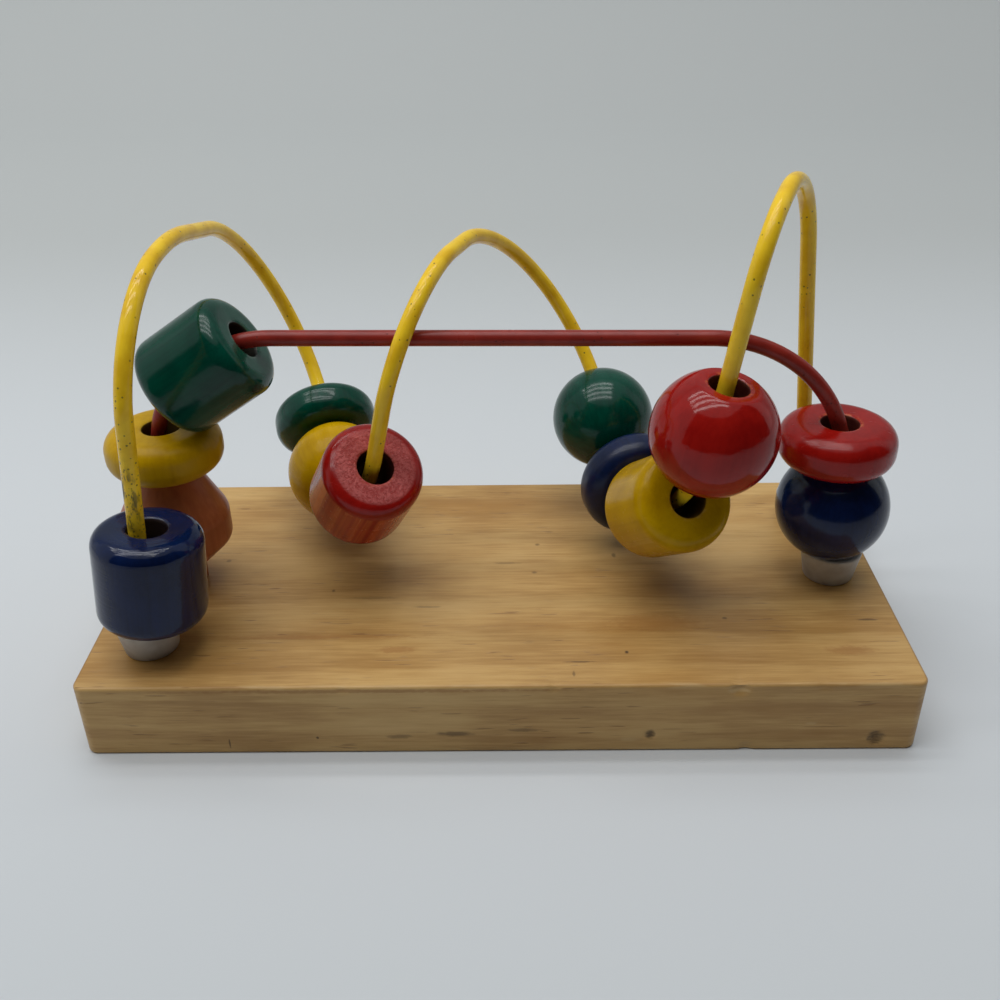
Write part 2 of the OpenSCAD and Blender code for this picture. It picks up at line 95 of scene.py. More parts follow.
class ShaderGraph:
    """A principled material, with short ways to add nodes to it."""

    def __init__(self, name: str) -> None:
        """Starts a plain material.

        Args:
            name: the material's name.
        """
        self.material = bpy.data.materials.new(name)
        self.material.use_nodes = True
        self.tree = self.material.node_tree
        self.shader = self.tree.nodes["Principled BSDF"]

    def node(
        self, kind: str, inputs: dict[str | int, Feed] | None = None, **settings: object
    ) -> bpy.types.Node:
        """Adds a node.

        Args:
            kind: the node's type without its ShaderNode prefix.
            inputs: what goes into its sockets, by name or number.
            settings: values of the node's own properties.

        Returns:
            The new node.
        """
        made = self.tree.nodes.new("ShaderNode" + kind)
        for key, value in settings.items():
            setattr(made, key, value)
        for key, value in (inputs or {}).items():
            self.feed(made.inputs[key], value)
        return made

    def feed(self, socket: Socket, value: Feed) -> None:
        """Links an output to a socket, or sets the socket's own value.

        Args:
            socket: the socket that is fed.
            value: another node's output, or a plain value.
        """
        if isinstance(value, bpy.types.NodeSocket):
            self.tree.links.new(value, socket)
        else:
            socket.default_value = value

    def set(self, **values: Feed) -> None:
        """Feeds sockets of the main shader; an underscore in a name stands for a space."""
        for key, value in values.items():
            self.feed(self.shader.inputs[key.replace("_", " ")], value)

    def math(self, operation: str, first: Feed, second: Feed = 0.0) -> Socket:
        """Adds a sum of two values.

        Args:
            operation: the math node's operation.
            first: its first value.
            second: its second value.

        Returns:
            The result's socket.
        """
        return self.node("Math", {0: first, 1: second}, operation=operation).outputs[0]

    def times(self, first: Feed, second: Feed) -> Socket:
        """Multiplies two values."""
        return self.math("MULTIPLY", first, second)

    def off_axis(self, first: Feed, second: Feed) -> Socket:
        """Measures the distance from an axis, from the two values across it."""
        squares = [self.times(value, value) for value in (first, second)]
        return self.math("SQRT", self.math("ADD", *squares))

    def strongest(self, shares: Sequence[Socket]) -> Socket:
        """Takes the largest of some shares.

        Args:
            shares: the shares, at least one.

        Returns:
            The largest one's socket.
        """
        most = shares[0]
        for share in shares[1:]:
            most = self.math("MAXIMUM", most, share)
        return most

    def total(self, *terms: tuple[Feed, float]) -> Socket:
        """Adds up values, each times its own weight.

        Args:
            terms: the values with their weights.

        Returns:
            The sum's socket.
        """
        parts = [self.times(value, weight) for value, weight in terms]
        for part in parts[1:]:
            parts[0] = self.math("ADD", parts[0], part)
        return parts[0]

    def fade(self, value: Feed, low: float, high: float, start: float = 0.0, end: float = 1.0) -> Socket:
        """Turns a value between two limits smoothly into a share.

        Args:
            value: what is turned.
            low: the value that gives start.
            high: the value that gives end.
            start: the result below low.
            end: the result above high.

        Returns:
            The result's socket.
        """
        if low > high:
            low, high, start, end = high, low, end, start
        inputs = {0: value, 1: low, 2: high, 3: start, 4: end}
        return self.node("MapRange", inputs, interpolation_type="SMOOTHSTEP").outputs[0]

    def mix(self, share: Feed, first: Feed, second: Feed) -> Socket:
        """Mixes two colours.

        Args:
            share: how much of the second one is taken.
            first: the colour below.
            second: the colour on top.

        Returns:
            The mixed colour's socket.
        """
        made = self.node("Mix", data_type="RGBA")
        for socket, value in zip((made.inputs[0], made.inputs[6], made.inputs[7]), (share, first, second)):
            self.feed(socket, value)
        return made.outputs[2]

    def object_point(self) -> Socket:
        """Gives the place on the piece, in metres of the part's frame."""
        return self.node("TexCoord").outputs["Object"]

    def placed(self, middle: Vector, turn: Matrix) -> Socket:
        """Gives the place on the piece in axes of its own.

        Args:
            middle: the origin of those axes.
            turn: rotation from those axes to the part's.

        Returns:
            The turned point's socket.
        """
        back = turn.transposed()
        inputs = {"Vector": self.object_point(), "Location": -(back @ middle), "Rotation": back.to_euler()}
        return self.node("Mapping", inputs).outputs[0]

    def stretched(self, point: Feed, scale: Point) -> Socket:
        """Scales a point along each axis."""
        return self.node("Mapping", {"Vector": point, "Scale": scale}).outputs[0]

    def split(self, point: Feed) -> tuple[Socket, Socket, Socket]:
        """Takes a point apart into its three values."""
        made = self.node("SeparateXYZ", {0: point})
        return made.outputs[0], made.outputs[1], made.outputs[2]

    def grain(self, point: Feed, scale: float, detail: float = 2.0, rough: float = 0.5) -> Socket:
        """Adds cloudy noise.

        Args:
            point: where it is read.
            scale: clouds to a metre.
            detail: octaves of finer clouds.
            rough: how strong the finer clouds are.

        Returns:
            The noise's socket, about 0.5 on average.
        """
        inputs = {"Vector": point, "Scale": scale, "Detail": detail, "Roughness": rough}
        return self.node("TexNoise", inputs).outputs[0]

    def streaks(self, point: Feed, scale: Point, detail: float = 2.0, rough: float = 0.5) -> Socket:
        """Adds cloudy noise that is drawn out along an axis.

        Args:
            point: where it is read.
            scale: clouds to a metre along each axis.
            detail: octaves of finer clouds.
            rough: how strong the finer clouds are.

        Returns:
            The noise's socket, about 0.5 on average.
        """
        return self.grain(self.stretched(point, scale), 1.0, detail, rough)

    def cells(self, point: Feed, scale: float) -> tuple[Socket, Socket]:
        """Adds scattered cells, and gives the distance from each cell's middle and its own colour."""
        made = self.node("TexVoronoi", {"Vector": point, "Scale": scale})
        return made.outputs["Distance"], made.outputs["Color"]

    def tones(self, value: Feed, stops: Sequence[tuple[float, Colour]]) -> Socket:
        """Turns a value into a colour.

        Args:
            value: the value, from 0 to 1.
            stops: places from 0 to 1, each with its display colour.

        Returns:
            The colour's socket.
        """
        made = self.node("ValToRGB", {0: value})
        ramp = made.color_ramp.elements
        while len(ramp) < len(stops):
            ramp.new(1.0)
        for element, (place, colour) in zip(ramp, stops):
            element.position = place
            element.color = linear(colour)
        return made.outputs[0]

    def reach_from(self, point: Feed, middle: Point, reach: Point) -> Socket:
        """Measures how far a point is from a soft patch.

        Args:
            point: the point.
            middle: the patch's middle, in millimetres.
            reach: its half sizes along each axis, in millimetres.

        Returns:
            The distance, which is 1 at the patch's edge.
        """
        scale = tuple(1 / (r * MM) for r in reach)
        shift = tuple(-m * MM * s for m, s in zip(middle, scale))
        near = self.node("Mapping", {"Vector": point, "Location": shift, "Scale": scale}).outputs[0]
        return self.node("VectorMath", {0: near}, operation="LENGTH").outputs[1]

    def raise_surface(self, height: Feed, reach: float, strength: float) -> None:
        """Gives the shader fine relief, whose reach is in millimetres."""
        inputs = {"Height": height, "Distance": reach * MM, "Strength": strength}
        self.set(Normal=self.node("Bump", inputs).outputs[0])


def edges_in(items: Sequence[object]) -> list[Edge]:
    """Picks the edges out of what a bmesh operator gives."""
    return [item for item in items if isinstance(item, Edge)]


def pulled(bm: Shape, edges: list[Edge], travel: Vector) -> list[Edge]:
    """Pulls edges out into faces.

    Args:
        bm: the shape.
        edges: the edges to pull.
        travel: how far and which way, in metres.

    Returns:
        The edges at the far end.
    """
    grown = bmesh.ops.extrude_edge_only(bm, edges=edges)["geom"]
    verts = [item for item in grown if isinstance(item, bmesh.types.BMVert)]
    bmesh.ops.translate(bm, vec=travel, verts=verts)
    return edges_in(grown)


def swung(bm: Shape, edges: list[Edge], centre: Vector, axis: Vector, turn: float, steps: int) -> list[Edge]:
    """Swings edges round an axis, which leaves faces behind them.

    Args:
        bm: the shape.
        edges: the edges to swing.
        centre: a point on the axis, in metres.
        axis: the axis.
        turn: how far, in radians.
        steps: faces along the way.

    Returns:
        The edges at the far end.
    """
    verts = list({vert for edge in edges for vert in edge.verts})
    swept = bmesh.ops.spin(
        bm, geom=verts + edges, cent=centre, axis=axis, angle=turn, steps=steps, use_merge=False)
    return edges_in(swept["geom_last"])


def object_from(bm: Shape, name: str, material: bpy.types.Material) -> bpy.types.Object:
    """Makes a finished, smooth object from a bmesh and frees the bmesh.

    Args:
        bm: the shape, in metres of the part's frame.
        name: the piece's name.
        material: its finish.

    Returns:
        The linked object.
    """
    bmesh.ops.remove_doubles(bm, verts=bm.verts, dist=MERGE_GAP)
    bmesh.ops.recalc_face_normals(bm, faces=bm.faces)
    for face in bm.faces:
        face.smooth = True
    mesh = bpy.data.meshes.new(name)
    bm.to_mesh(mesh)
    bm.free()
    mesh.materials.append(material)
    made = bpy.data.objects.new(name, mesh)
    bpy.context.scene.collection.objects.link(made)
    return made


def even_shading(piece: bpy.types.Object) -> None:
    """Keeps flat faces flat in shading where they meet rounded edges.

    Args:
        piece: the piece.
    """
    weighted = piece.modifiers.new("even_shading", "WEIGHTED_NORMAL")
    weighted.weight = FACE_WEIGHT
    weighted.keep_sharp = True


def stand_for(piece: bpy.types.Object, node: str, body: str) -> None:
    """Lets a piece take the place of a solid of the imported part.

    Args:
        piece: the piece.
        node: the solid that it stands for.
        body: the body that it moves with.
    """
    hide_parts(node)
    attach(piece, body)
    log.info("%s: %d faces on %s", piece.name, len(piece.data.polygons), body)


def hole_axis(solid: bpy.types.Object) -> Vector:
    """Finds which way a bead's hole runs: square to its two flat ends, its solid's widest flat faces.

    Args:
        solid: the bead's solid.

    Returns:
        The hole's way, which points to the right or, where the hole stands upright, up.
    """
    onwards = Vector((1.0, 0.0, 0.01))
    turn = solid.matrix_world.to_3x3()
    ways: dict[tuple[float, ...], Vector] = {}
    areas: dict[tuple[float, ...], float] = {}
    for face in solid.data.polygons:
        way = (turn @ face.normal).normalized()
        way = way if way.dot(onwards) > 0 else -way
        key = tuple(round(value, 2) for value in way)
        ways.setdefault(key, way)
        areas[key] = areas.get(key, 0.0) + face.area
    return ways[max(areas, key=areas.get)]


def turned_section(bm: Shape, corners: Sequence["Corner"], step: float, sides: int) -> None:
    """Rounds the corners of a half section and turns it about the Z axis.

    Args:
        bm: an empty bmesh that takes the turned solid.
        corners: the section's corners, in order.
        step: longest edge left in the section, in millimetres.
        sides: steps of the full turn.
    """
    verts = [bm.verts.new((c.radius * MM, 0.0, c.height * MM)) for c in corners]
    bm.faces.new(verts)
    for vert, corner in zip(verts, corners):
        if corner.fillet:
            bmesh.ops.bevel(
                bm, geom=[vert], offset=corner.fillet * MM, segments=corner.segments, profile=0.5,
                affect="VERTICES", material=-1)
    section = bm.faces[:][0]
    for edge in section.edges[:]:
        cuts = int(edge.calc_length() / (step * MM))
        if cuts:
            bmesh.ops.subdivide_edges(bm, edges=[edge], cuts=cuts)
    bmesh.ops.delete(bm, geom=bm.faces[:], context="FACES_ONLY")
    bmesh.ops.spin(
        bm, geom=bm.verts[:] + bm.edges[:], cent=(0, 0, 0), axis=(0, 0, 1), angle=math.tau, steps=sides,
        use_merge=True)


@dataclass(frozen=True)
class Corner:
    """Corner of a half section: its distance from the axis, its height and the radius that rounds it."""

    radius: float
    height: float
    fillet: float = 0.0
    segments: int = 4


class MarkKind(Enum):
    """What a mark on the board is, with its colour and how ragged its edge is."""

    STAIN = ((66, 48, 32), 0.7)
    SCUFF = ((204, 174, 124), 0.7)
    # Painted shade: a dark brown line under the front's top edge, and darker patches of the top that are
    # partly painted shade and partly the wood's own tone.
    WARM = ((150, 96, 44), 0.9)


@dataclass(frozen=True)
class Mark:
    """Small mark on the board: its place, its reach along each axis, how strong it is and what it is."""

    place: Point
    reach: Point
    strength: float = 0.8
    kind: MarkKind = MarkKind.STAIN


@dataclass(frozen=True)
class Dent:
    """Shallow knock in the board: its place, its width and its depth."""

    place: Point
    width: float
    depth: float


@dataclass(frozen=True)
class PineFinish:
    """Satin varnish on pine whose grain runs along the board.

    A scale is clouds to a metre along each axis. Depths are millimetres in from the faces.
    """

    name: str = "varnished_pine"
    light: Colour = (210, 174, 114)
    middle: Colour = (194, 155, 95)
    dark: Colour = (164, 123, 68)
    blush: Colour = (176, 126, 58)
    fleck: Colour = (116, 78, 40)
    end_grain: Colour = (138, 98, 54)
    pith: Pair = (12.0, -58.0)
    ring_gap: float = 6.2
    ring_bow: Point = (5, 10, 10)
    ring_wave: Point = (14, 80, 80)
    fibre_scale: Point = (72, 1250, 1250)
    band_scale: Point = (15, 120, 120)
    cloud_scale: Point = (23, 38, 38)
    blush_scale: Point = (16, 50, 50)
    fleck_scale: Point = (130, 1500, 1500)
    fleck_spread: Point = (30, 70, 70)
    mark_scale: Point = (700, 1500, 1500)
    rub_scale: Point = (90, 500, 500)
    end_depths: Pair = (0.9, 0.3)
    edge_depths: Pair = (1.4, 0.3)
    gloss: float = 0.38
    relief: float = 0.12

    def material(self, marks: Sequence[Mark], half: Point) -> bpy.types.Material:
        """Makes the material.

        Args:
            marks: flecks, stains, scuffs and painted shade of this board.
            half: half length, half width and height of the board.

        Returns:
            The board's material.
        """
        graph = ShaderGraph(self.name)
        point = graph.object_point()
        x, y, z = graph.split(point)
        tone = self.growth(graph, point, y, z)
        fibres = graph.streaks(point, self.fibre_scale, 4.0, 0.66)
        bands = graph.streaks(point, self.band_scale, 3.0, 0.6)
        clouds = graph.streaks(point, self.cloud_scale, 3.0, 0.62)
        mixed = graph.total((tone, 0.1), (fibres, 0.42), (bands, 0.22), (clouds, 0.6))
        colour = graph.tones(
            graph.fade(mixed, 0.36, 0.9), [(0.0, self.light), (0.5, self.middle), (1.0, self.dark)])
        warm = graph.streaks(point, self.blush_scale, 3.0)
        colour = graph.mix(graph.fade(warm, 0.48, 0.75, 0.0, 0.4), colour, linear(self.blush))
        dashes = graph.fade(graph.streaks(point, self.fleck_scale, 1.0), 0.67, 0.75)
        spread = graph.fade(graph.streaks(point, self.fleck_spread, 1.0), 0.42, 0.58)
        dashes = graph.times(dashes, spread)
        colour = graph.mix(graph.times(dashes, 0.5), colour, linear(self.fleck))
        ends = graph.fade(graph.math("ABSOLUTE", x), *((half[0] - depth) * MM for depth in self.end_depths))
        colour = graph.mix(graph.times(ends, 0.5), colour, linear(self.end_grain))
        edge, rubbed = self.worn_edges(graph, point, y, z, half)
        colour = graph.mix(rubbed, colour, linear(MarkKind.SCUFF.value[0]))
        worn = rubbed
        # One kind of mark is painted shade; its share also goes into worn.
        for kind in MarkKind:
            share = self.marked(graph, point, [mark for mark in marks if mark.kind is kind])
            colour = graph.mix(share, colour, linear(kind.value[0]))
            worn = graph.math("MAXIMUM", worn, share)
        rough = graph.total((fibres, 0.14), (clouds, 0.14), (edge, 0.08), (worn, 0.12), (1.0, 0.24))
        graph.set(Base_Color=colour, Roughness=rough, Specular_IOR_Level=self.gloss)
        height = graph.total((fibres, 0.5), (tone, -0.25), (dashes, -0.8), (worn, -0.5))
        graph.raise_surface(height, self.relief, 0.6)
        return graph.material

    def growth(self, graph: ShaderGraph, point: Socket, y: Socket, z: Socket) -> Socket:
        """Draws growth rings about a pith that lies below the board.

        Args:
            graph: the material.
            point: place on the board.
            y: its value across the board.
            z: its height.

        Returns:
            How dark the ring is there, from 0 to 1.
        """
        across = graph.math("SUBTRACT", y, self.pith[0] * MM)
        above = graph.math("SUBTRACT", z, self.pith[1] * MM)
        bow = graph.streaks(point, self.ring_bow, 1.0)
        wave = graph.streaks(point, self.ring_wave)
        radius = graph.total((graph.off_axis(across, above), 1.0), (bow, 0.010), (wave, 0.002))
        ring = graph.math("FRACT", graph.math("DIVIDE", radius, self.ring_gap * MM))
        rise = graph.fade(ring, 0.1, 0.86)
        fall = graph.fade(ring, 0.86, 1.0, 1.0, 0.0)
        return graph.times(rise, fall)

    def marked(self, graph: ShaderGraph, point: Socket, marks: Sequence[Mark]) -> Socket:
        """Draws small marks of one kind on the board; one kind is painted shade.

        Args:
            graph: the material.
            point: place on the board.
            marks: the marks.

        Returns:
            The share of the mark's colour.
        """
        ragged = graph.streaks(point, self.mark_scale)
        shares = []
        for mark in marks:
            rag = mark.kind.value[1]
            off = graph.total((graph.reach_from(point, mark.place, mark.reach), 1.0), (ragged, rag))
            shares.append(graph.fade(off, 0.9 + rag / 2, 0.3 + rag / 2, 0.0, mark.strength))
        return graph.strongest(shares)

    def worn_edges(
        self, graph: ShaderGraph, point: Socket, y: Socket, z: Socket, half: Point
    ) -> tuple[Socket, Socket]:
        """Finds the rubbed long edges of the board's top.

        Args:
            graph: the material.
            point: place on the board.
            y: its value across the board.
            z: its height.
            half: half length, half width and height of the board.

        Returns:
            The share of edge there, and the share of that which is rubbed pale.
        """
        side = graph.fade(graph.math("ABSOLUTE", y), *((half[1] - depth) * MM for depth in self.edge_depths))
        top = graph.fade(z, *((half[2] - depth) * MM for depth in self.edge_depths))
        edge = graph.times(side, top)
        rubbed = graph.fade(graph.streaks(point, self.rub_scale, 3.0), 0.48, 0.64)
        return edge, graph.times(graph.times(edge, rubbed), 0.45)


@dataclass(frozen=True)
class Rub:
    """Stretch of a wire where beads have rubbed the paint: its place and its reach along each axis."""

    place: Point
    reach: Point


@dataclass(frozen=True)
class WirePaint:
    """Glossy paint on steel wire, with fine dark specks and a stain where beads have rubbed it."""

    name: str
    colour: Colour
    deep: Colour
    chip: Colour
    rough: float
    specks: Rub
    stain: Rub
    cloud_scale: float = 170.0
    speck_scale: float = 1250.0
    stain_scale: Point = (620, 620, 190)
    gloss: float = 0.28
    relief: float = 0.12

    def material(self) -> bpy.types.Material:
        """Makes the wire's material.

        Returns:
            The material.
        """
        graph = ShaderGraph(self.name)
        point = graph.object_point()
        clouds = graph.grain(point, self.cloud_scale, 3.0)
        colour = graph.mix(graph.fade(clouds, 0.35, 0.7), linear(self.colour), linear(self.deep))
        distance, own = graph.cells(point, self.speck_scale)
        worn = graph.fade(graph.reach_from(point, self.specks.place, self.specks.reach), 1.0, 0.2)
        pick = graph.total((graph.split(own)[0], 1.0), (worn, 0.52))
        dots = graph.times(graph.fade(distance, 0.36, 0.2), graph.fade(pick, 0.93, 0.96))
        ragged = graph.fade(graph.streaks(point, self.stain_scale, 3.0, 0.65), 0.47, 0.6)
        stain = graph.fade(graph.reach_from(point, self.stain.place, self.stain.reach), 1.0, 0.4)
        chips = graph.strongest([graph.times(dots, 0.85), graph.times(stain, ragged)])
        colour = graph.mix(graph.times(chips, 0.9), colour, linear(self.chip))
        rough = graph.total((clouds, 0.1), (chips, 0.25), (1.0, self.rough))
        graph.set(Base_Color=colour, Roughness=rough, Specular_IOR_Level=self.gloss)
        graph.raise_surface(graph.total((chips, -0.8), (clouds, 0.5)), self.relief, 0.6)
        return graph.material


@dataclass(frozen=True)
class FrostedPlastic:
    """Milky plastic that lets some light through."""

    name: str
    colour: Colour = (222, 218, 211)
    shade: Colour = (202, 196, 187)
    cloud_scale: float = 260.0
    ring_scale: Point = (40, 40, 1400)
    rough: float = 0.48
    clearness: float = 0.3
    refraction: float = 1.46
    gloss: float = 0.3
    relief: float = 0.08

    def material(self) -> bpy.types.Material:
        """Makes the cap's material.

        Returns:
            The material.
        """
        graph = ShaderGraph(self.name)
        point = graph.object_point()
        clouds = graph.grain(point, self.cloud_scale, 3.0)
        rings = graph.streaks(point, self.ring_scale, 1.0)
        colour = graph.mix(graph.fade(clouds, 0.35, 0.7), linear(self.colour), linear(self.shade))
        graph.set(
            Base_Color=colour, Roughness=graph.total((clouds, 0.2), (1.0, self.rough)),
            Transmission_Weight=self.clearness, IOR=self.refraction, Specular_IOR_Level=self.gloss)
        graph.raise_surface(graph.total((clouds, 0.6), (rings, 0.5)), self.relief, 0.5)
        return graph.material


class EndFace(Enum):
    """How the flat ends of a bead have been left."""

    SMOOTH = "smooth"
    ROUGH = "rough"


@dataclass(frozen=True)
class Lacquer:
    """Glossy lacquer on turned wood.

    A scale is clouds to a metre. A reach is in millimetres outwards from the hole or from the flat end's rim,
    and a depth is in millimetres in from the end.
    """

    slot: str
    colour: Colour
    deep: Colour
    wood: Colour
    gloss: float = 0.3
    # Dark brown of the bore's inside: bare wood with painted shade over it.
    bore_wood_and_shade: Colour = (34, 20, 13)
    fibre_scale: Point = (850, 850, 36)
    cloud_scale: float = 330.0
    tone_scale: float = 110.0
    chip_scale: float = 700.0
    turning_scale: float = 1500.0
    scuff_scale: Point = (300, 900, 500)
    streak_scale: Point = (520, 520, 7)
    pore_scale: float = 1700.0
    rim_reach: Pair = (1.2, 0.3)
    bore_wood_and_shade_reach: Pair = (0.25, 0.02)
    side_depths: Pair = (3.2, 4.2)
    end_depths: Pair = (0.9, 0.4)
    end_reach: Pair = (1.4, 0.4)
    relief: float = 0.1

    def material(self, bead: "Bead") -> bpy.types.Material:
        """Makes the material of one bead, in the bead's own axes.

        Args:
            bead: the bead, whose sizes say where its hole, rims and flat ends are.

        Returns:
            The bead's material.
        """
        graph = ShaderGraph(bead.name + "_lacquer")
        point = graph.placed(bead.middle, bead.turn())
        x, y, z = graph.split(point)
        off = graph.off_axis(x, y)
        fibres = graph.streaks(point, self.fibre_scale, 3.0, 0.6)
        clouds = graph.grain(point, self.cloud_scale)
        tone = graph.total((fibres, 0.4), (graph.grain(point, self.tone_scale), 0.6))
        colour = graph.mix(graph.fade(tone, 0.34, 0.68), linear(self.colour), linear(self.deep))
        hole = bead.bore / 2
        rim = graph.fade(off, *((hole + reach) * MM for reach in self.rim_reach))
        ragged = graph.fade(graph.grain(point, self.chip_scale, 3.0, 0.65), 0.46, 0.64)
        wood_showing_and_reflection = graph.times(graph.times(rim, ragged), 0.35)
        # Bare wood at the rim, and pale streaks on some sides, which on the yellow barrel are partly a
        # painted reflection of the board.
        if bead.pale_and_reflecting_sides:
            wood_showing_and_reflection = graph.strongest([wood_showing_and_reflection, self.pale_streaks_and_reflection(graph, bead, point)])
        colour = graph.mix(wood_showing_and_reflection, colour, linear(self.wood))
        # Painted shade inside the bore, over the bare wood there.
        bore = graph.fade(off, *((hole + reach) * MM for reach in self.bore_wood_and_shade_reach))
        colour = graph.mix(graph.times(bore, 0.85), colour, linear(self.bore_wood_and_shade))
        turning = graph.grain(graph.node("CombineXYZ", {0: off, 2: z}).outputs[0], self.turning_scale)
        scuffs = graph.fade(graph.streaks(point, self.scuff_scale, 3.0), 0.58, 0.72)
        rough = graph.total((clouds, 0.07), (scuffs, 0.1), (wood_showing_and_reflection, 0.25), (bore, 0.4), (1.0, bead.rough))
        height = graph.total((fibres, 0.12), (clouds, 0.55), (turning, 0.09 * bead.turned), (scuffs, -0.1))
        if bead.ends is EndFace.ROUGH:
            worn, pits = self.rough_end(graph, bead, point, off, z)
            share = graph.times(worn, graph.fade(pits, 0.0, 1.0, 0.3, 0.85))
            colour = graph.mix(share, colour, linear(bead.end_colour))
            rough = graph.total((rough, 1.0), (worn, 0.22))
            height = graph.total((height, 1.0), (graph.times(worn, pits), 1.6))
        graph.set(Base_Color=colour, Roughness=rough, Specular_IOR_Level=self.gloss)
        graph.raise_surface(height, self.relief, 0.8)
        return graph.material

    def pale_streaks_and_reflection(self, graph: ShaderGraph, bead: "Bead", point: Socket) -> Socket:
        """Finds the sides where pale streaks are painted: thin paint with the wood showing, and on the yellow
        barrel's lower side a painted reflection of the board.

        Args:
            graph: the material.
            bead: the bead.
            point: place on the bead, in its own axes.

        Returns:
            The share of pale streaks and painted reflection.
        """
        streaks = graph.fade(graph.streaks(point, self.streak_scale, 3.0), 0.3, 0.7)
        z = graph.split(point)[2]
        half = bead.length() / 2
        side = graph.fade(graph.math("ABSOLUTE", z), *((half - depth) * MM for depth in self.side_depths))
        streaks = graph.times(streaks, side)
        shares = []
        for way, strength in bead.pale_and_reflecting_sides:
            own = bead.turn().transposed() @ Vector(way)
            own = Vector((own.x, own.y, 0.0)).normalized() / (bead.flat_radius() * MM)
            along = graph.node("VectorMath", {0: point, 1: own}, operation="DOT_PRODUCT").outputs[1]
            shares.append(graph.times(graph.fade(along, 0.7, 1.4, 0.0, strength), streaks))
        return graph.strongest(shares)

    def rough_end(
        self, graph: ShaderGraph, bead: "Bead", point: Socket, off: Socket, z: Socket
    ) -> tuple[Socket, Socket]:
        """Finds the open pores of flat ends that were never rubbed down.

        Args:
            graph: the material.
            bead: the bead.
            point: place on the bead, in its own axes.
            off: its distance from the axis.
            z: its place along the axis.

        Returns:
            The share of rough end there, and the height of the pores.
        """
        half = bead.length() / 2
        end = graph.fade(graph.math("ABSOLUTE", z), *((half - depth) * MM for depth in self.end_depths))
        inside = graph.fade(off, *((bead.flat_radius() + reach) * MM for reach in self.end_reach))
        pits = graph.fade(graph.grain(point, self.pore_scale, 3.0, 0.7), 0.34, 0.62)
        return graph.times(end, inside), pits


@dataclass
class Bead:
    """A turned wooden bead, in the place of the solid that has its name.

    The shift, in millimetres, and the tip of its hole's way say how far it lies off that solid.
    """

    name: str
    lacquer: Lacquer
    bore: float = 8.8
    bore_ease: float = 0.35
    rim_ease: float = 0.3
    rough: float = 0.12
    turned: float = 0.3
    # Ways of sides with pale streaks, each with its strength: thin paint, and on the yellow barrel a painted
    # reflection of the board.
    pale_and_reflecting_sides: tuple[tuple[Point, float], ...] = ()
    ends: EndFace = EndFace.SMOOTH
    end_colour: Colour = (196, 96, 92)
    step: float = 0.8
    sides: int = 96
    lump: float = 0.05
    lump_size: float = 7.0
    shift: Point = (0.0, 0.0, 0.0)
    tip: Point = (0.0, 0.0, 0.0)
    middle: Vector = field(init=False)
    axis: Vector = field(init=False)

    def __post_init__(self) -> None:
        """Works out the middle of the bead and the way of its hole from its solid."""
        low, high = (Vector(corner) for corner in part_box(self.name))
        self.middle = (low + high) / 2 + metres(self.shift)
        self.axis = (hole_axis(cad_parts[self.name]) + Vector(self.tip)).normalized()

    def length(self) -> float:
        """Gives the bead's length along its hole."""
        raise NotImplementedError

    def flat_radius(self) -> float:
        """Gives the radius of the bead's flat end."""
        raise NotImplementedError

    def outline(self) -> list[Corner]:
        """Gives the outline from the rim of the upper flat end to that of the lower one."""
        raise NotImplementedError

    def turn(self) -> Matrix:
        """Gives the rotation from the bead's own axes to the part's."""
        return Vector((0, 0, 1)).rotation_difference(self.axis).to_matrix()

    def section(self) -> list[Corner]:
        """Gives the whole half section, with the hole and its eased edges.

        Returns:
            The section's corners, in order.
        """
        hole, half = self.bore / 2, self.length() / 2
        upper = [Corner(hole, half - self.bore_ease), Corner(hole + self.bore_ease, half, self.rim_ease, 2)]
        lower = [replace(corner, height=-corner.height) for corner in reversed(upper)]
        return upper + self.outline() + lower

    def build(self) -> bpy.types.Object:
        """Turns the bead, moves it to its wire and lets it stand for its solid.

        Returns:
            The bead.
        """
        bm = bmesh.new()
        turned_section(bm, self.section(), self.step, self.sides)
        bmesh.ops.remove_doubles(bm, verts=bm.verts, dist=MERGE_GAP)
        self.soften(bm)
        place = Matrix.Translation(self.middle) @ self.turn().to_4x4()
        bmesh.ops.transform(bm, matrix=place, verts=bm.verts)
        piece = object_from(bm, self.name + "_bead", self.lacquer.material(self))
        even_shading(piece)
        stand_for(piece, self.name, self.name)
        return piece

    def soften(self, bm: Shape) -> None:
        """Gives the lacquer its slight unevenness, always inwards.

        Args:
            bm: the turned bead, in its own axes.
        """
        seed = Vector((len(self.name), sum(map(ord, self.name)) % 17, self.length())) * 1.7
        bm.normal_update()
        for vert in bm.verts:
            wave = noise.noise(vert.co / (self.lump_size * MM) + seed)
            vert.co -= vert.normal * self.lump * MM * (0.5 + 0.5 * wave)


@dataclass
class BallBead(Bead):
    """A ball with a flat at both ends of its hole."""

    diameter: float = 26.0
    length_share: float = 0.86
    flat_ease: float = 0.35
    arc_steps: int = 28

    def length(self) -> float:
        """Gives the distance between the two flats."""
        return self.diameter * self.length_share

    def flat_radius(self) -> float:
        """Gives the radius of the flat."""
        return self.diameter / 2 * math.sin(math.acos(self.length_share))

    def outline(self) -> list[Corner]:
        """Gives the ball's arc between its flats.

        Returns:
            The arc's corners, from the upper flat to the lower one.
        """
        radius, first = self.diameter / 2, math.acos(self.length_share)
        angles = [first + (math.pi - 2 * first) * k / self.arc_steps for k in range(self.arc_steps + 1)]
        arc = [Corner(math.sin(angle) * radius, math.cos(angle) * radius) for angle in angles]
        for end in (0, -1):
            arc[end] = replace(arc[end], fillet=self.flat_ease, segments=2)
        return arc


